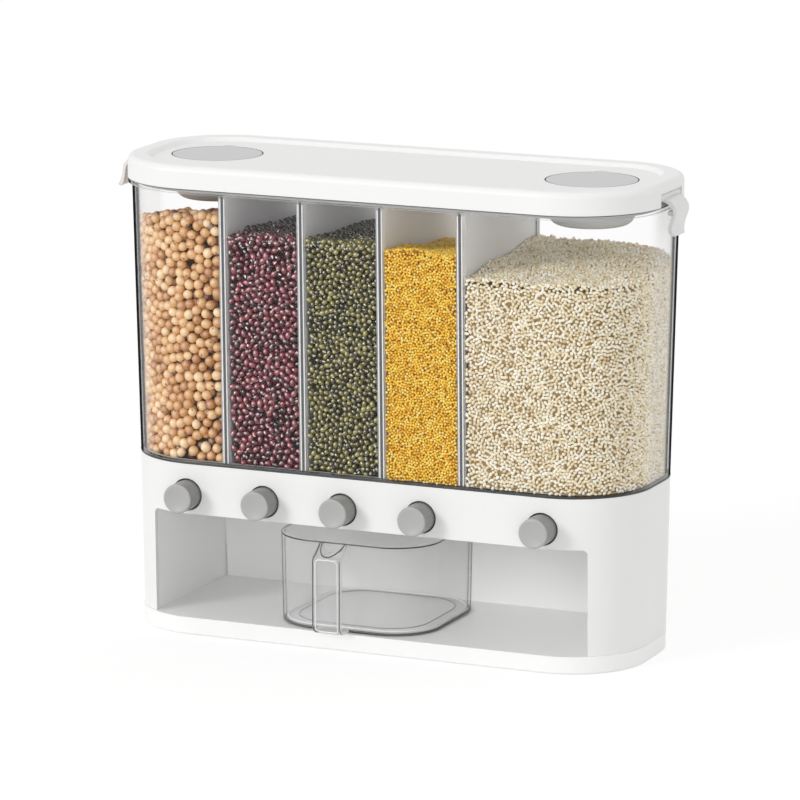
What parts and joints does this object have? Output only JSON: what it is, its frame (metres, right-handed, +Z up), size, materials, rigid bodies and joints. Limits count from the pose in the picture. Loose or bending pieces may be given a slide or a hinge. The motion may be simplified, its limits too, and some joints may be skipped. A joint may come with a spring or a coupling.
{
  "type": "wall-mounted grain dispenser",
  "caption": "Wall-mounted dry food dispenser: clear divided bin on a white base with push-button slide gates, latched lid with desiccant cups, and a measuring cup in the bay.",
  "frame": {"origin": "middle of the underside of the base, on the plane that it stands on", "axes": "+Z up, front with the buttons at -Y, the wall behind at +Y, +X to the right along the longest side"},
  "size_m": [0.4204, 0.156, 0.3328],
  "materials": {
    "white_plastic": "gloss",
    "grey_plastic": "satin",
    "clear_plastic": "clear gloss",
    "frosted_plastic": "frosted",
    "seal": "matte",
    "steel": "satin",
    "soybean": "matte grains",
    "red_bean": "glossy grains",
    "green_bean": "glossy grains",
    "millet": "matte grains",
    "pearl_grain": "matte grains"
  },
  "bodies": {
    "body": {"base_shell": "white_plastic", "bay_liner": "white_plastic", "deck_front": "white_plastic", "deck_rear": "white_plastic", "deck_webs": "white_plastic", "bottom_tray": "white_plastic", "tray_screws": "steel", "bin": "clear_plastic", "bin_rim": "clear_plastic", "hopper_1": "clear_plastic", "hopper_2": "clear_plastic", "hopper_3": "clear_plastic", "hopper_4": "clear_plastic", "hopper_5": "clear_plastic", "gate_guide_1": "white_plastic", "gate_guide_2": "white_plastic", "gate_guide_3": "white_plastic", "gate_guide_4": "white_plastic", "gate_guide_5": "white_plastic", "divider_1": "frosted_plastic", "divider_2": "frosted_plastic", "divider_3": "frosted_plastic", "divider_4": "frosted_plastic", "grain_1": "soybean", "grain_2": "red_bean", "grain_3": "green_bean", "grain_4": "millet", "grain_5": "pearl_grain", "return_spring_1": "steel", "return_spring_2": "steel", "return_spring_3": "steel", "return_spring_4": "steel", "return_spring_5": "steel"},
    "lid": {"lid": "white_plastic", "seal_frame": "white_plastic", "lid_seal": "seal", "latch_pin_left": "steel", "latch_pin_right": "steel", "desiccant_cup_left": "grey_plastic", "desiccant_cup_right": "grey_plastic"},
    "latch_left": {"latch_left": "grey_plastic"},
    "latch_right": {"latch_right": "grey_plastic"},
    "cap_left": {"desiccant_cap_left": "grey_plastic"},
    "cap_right": {"desiccant_cap_right": "grey_plastic"},
    "measuring_cup": {"measuring_cup": "clear_plastic"},
    "plunger_1": {"button_1": "grey_plastic", "gate_1": "white_plastic"},
    "plunger_2": {"button_2": "grey_plastic", "gate_2": "white_plastic"},
    "plunger_3": {"button_3": "grey_plastic", "gate_3": "white_plastic"},
    "plunger_4": {"button_4": "grey_plastic", "gate_4": "white_plastic"},
    "plunger_5": {"button_5": "grey_plastic", "gate_5": "white_plastic"}
  },
  "joints": [
    {"name": "lid_lift", "type": "slide", "parent": "body", "child": "lid", "axis": [0, 0, 1], "range_m": [0, 0.06]},
    {"name": "latch_left_turn", "type": "hinge", "parent": "lid", "child": "latch_left", "pos_m": [-0.1936, 0.0045, 0.3224], "axis": [0, 1, 0], "range_deg": [-42, 10]},
    {"name": "latch_right_turn", "type": "hinge", "parent": "lid", "child": "latch_right", "pos_m": [0.1936, 0.0045, 0.3224], "axis": [0, -1, 0], "range_deg": [-12, 40]},
    {"name": "cap_left_lift", "type": "slide", "parent": "lid", "child": "cap_left", "axis": [0, 0, 1], "range_m": [0, 0.025]},
    {"name": "cap_right_lift", "type": "slide", "parent": "lid", "child": "cap_right", "axis": [0, 0, 1], "range_m": [0, 0.025]},
    {"name": "measuring_cup_slide", "type": "slide", "parent": "body", "child": "measuring_cup", "axis": [0, -1, 0], "range_m": [0, 0.14]},
    {"name": "button_1_press", "type": "slide", "parent": "body", "child": "plunger_1", "axis": [0, 1, 0], "range_m": [0, 0.014], "stiffness_N_per_m": 250, "springref_m": -0.006, "deforming": ["return_spring_1"]},
    {"name": "button_2_press", "type": "slide", "parent": "body", "child": "plunger_2", "axis": [0, 1, 0], "range_m": [0, 0.014], "stiffness_N_per_m": 250, "springref_m": -0.006, "deforming": ["return_spring_2"]},
    {"name": "button_3_press", "type": "slide", "parent": "body", "child": "plunger_3", "axis": [0, 1, 0], "range_m": [0, 0.014], "stiffness_N_per_m": 250, "springref_m": -0.006, "deforming": ["return_spring_3"]},
    {"name": "button_4_press", "type": "slide", "parent": "body", "child": "plunger_4", "axis": [0, 1, 0], "range_m": [0, 0.014], "stiffness_N_per_m": 250, "springref_m": -0.006, "deforming": ["return_spring_4"]},
    {"name": "button_5_press", "type": "slide", "parent": "body", "child": "plunger_5", "axis": [0, 1, 0], "range_m": [0, 0.014], "stiffness_N_per_m": 250, "springref_m": -0.006, "deforming": ["return_spring_5"]}
  ]
}
